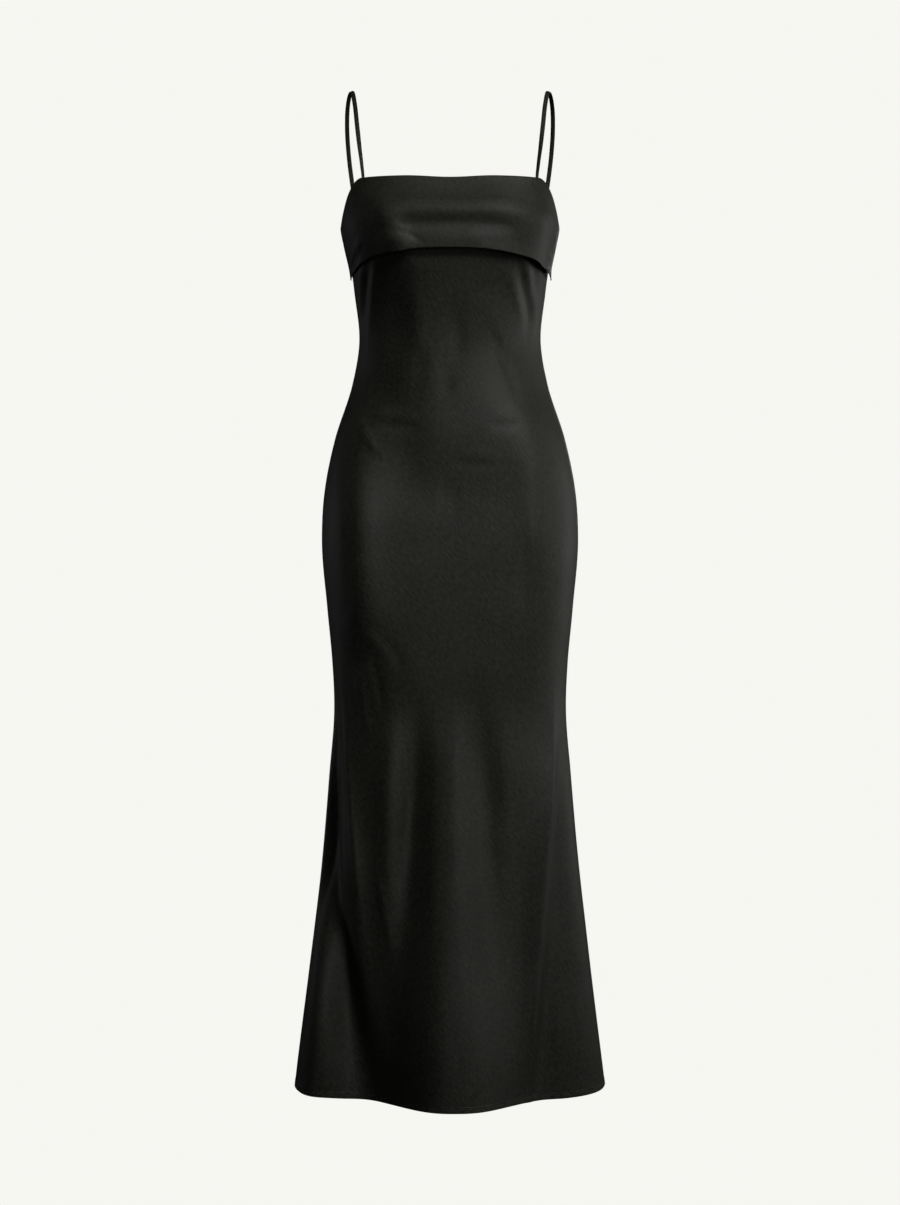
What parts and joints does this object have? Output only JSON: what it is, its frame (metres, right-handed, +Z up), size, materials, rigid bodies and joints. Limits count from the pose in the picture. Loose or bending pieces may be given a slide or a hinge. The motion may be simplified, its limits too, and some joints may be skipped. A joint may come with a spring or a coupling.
{
  "type": "slip dress",
  "caption": "Long bias-cut slip dress with a fold-over bust cuff, narrow shoulder straps and a flared hem, filled out hollow as worn.",
  "frame": {"origin": "midway between the two straps, level with their undersides where they rest on the wearer's shoulders", "axes": "+Z up along the body, -Y the front of the dress, +X to the right of someone who looks at the front"},
  "size_m": [0.4272, 0.3007, 1.3815],
  "materials": {
    "panel_cloth": "matte black satin-backed crepe with a fine diagonal weave",
    "cuff_cloth": "matte black satin-backed crepe, folded double",
    "strap_cloth": "matte black crepe turned into a narrow flat tube"
  },
  "bodies": {
    "root": {"front_panel": "panel_cloth", "back_panel": "panel_cloth", "bust_cuff": "cuff_cloth", "strap_left": "strap_cloth", "strap_right": "strap_cloth"}
  },
  "joints": []
}
